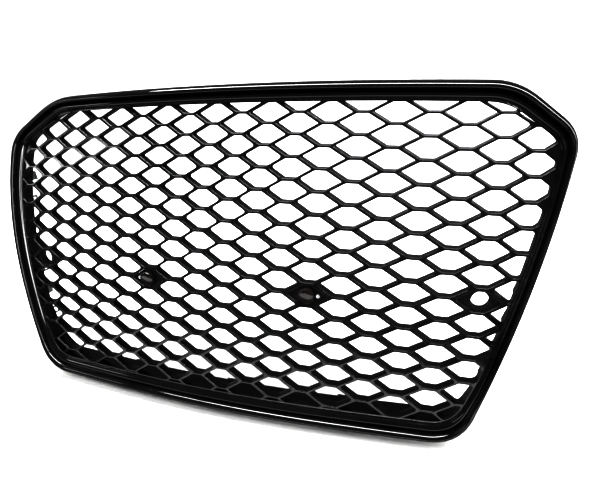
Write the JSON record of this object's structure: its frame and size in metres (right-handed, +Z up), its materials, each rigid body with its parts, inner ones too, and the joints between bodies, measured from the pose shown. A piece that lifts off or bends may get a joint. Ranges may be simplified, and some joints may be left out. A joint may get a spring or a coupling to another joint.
{
  "type": "front grille",
  "caption": "Honeycomb front grille for a car: one beaded frame, a curved hexagon mesh and round parking-sensor holders, with snap and bolt fixings behind.",
  "frame": {"origin": "midway between the two inner top bolt holes, on the upper face of the bracket shelves", "axes": "+X to the right seen from in front, +Y back into the car, +Z up"},
  "size_m": [0.8706, 0.2885, 0.4353],
  "materials": {
    "gloss_black": "gloss",
    "satin_black": "satin",
    "plug_black": "gloss",
    "steel": "zinc"
  },
  "bodies": {
    "grille": {"trim_ring": "gloss_black", "surround_frame": "gloss_black", "mesh_insert": "gloss_black", "holder_outer_left": "satin_black", "holder_inner_left": "satin_black", "holder_inner_right": "satin_black", "holder_outer_right": "satin_black", "holder_pins": "steel", "holder_latches": "satin_black", "snap_loops_left": "satin_black", "snap_loops_right": "satin_black", "snap_loops_top": "satin_black", "snap_loops_bottom": "satin_black", "top_bracket_left": "satin_black", "top_bracket_right": "satin_black", "spring_nuts": "steel", "lower_locators": "satin_black", "side_clips_left": "steel", "side_clips_right": "steel"},
    "plug_left": {"sensor_plug_left": "plug_black"},
    "plug_right": {"sensor_plug_right": "plug_black"}
  },
  "joints": [
    {"name": "plug_left_pull", "type": "slide", "parent": "grille", "child": "plug_left", "axis": [0, -1, 0], "range_m": [0, 0.035]},
    {"name": "plug_right_pull", "type": "slide", "parent": "grille", "child": "plug_right", "axis": [0, -1, 0], "range_m": [0, 0.035]}
  ]
}
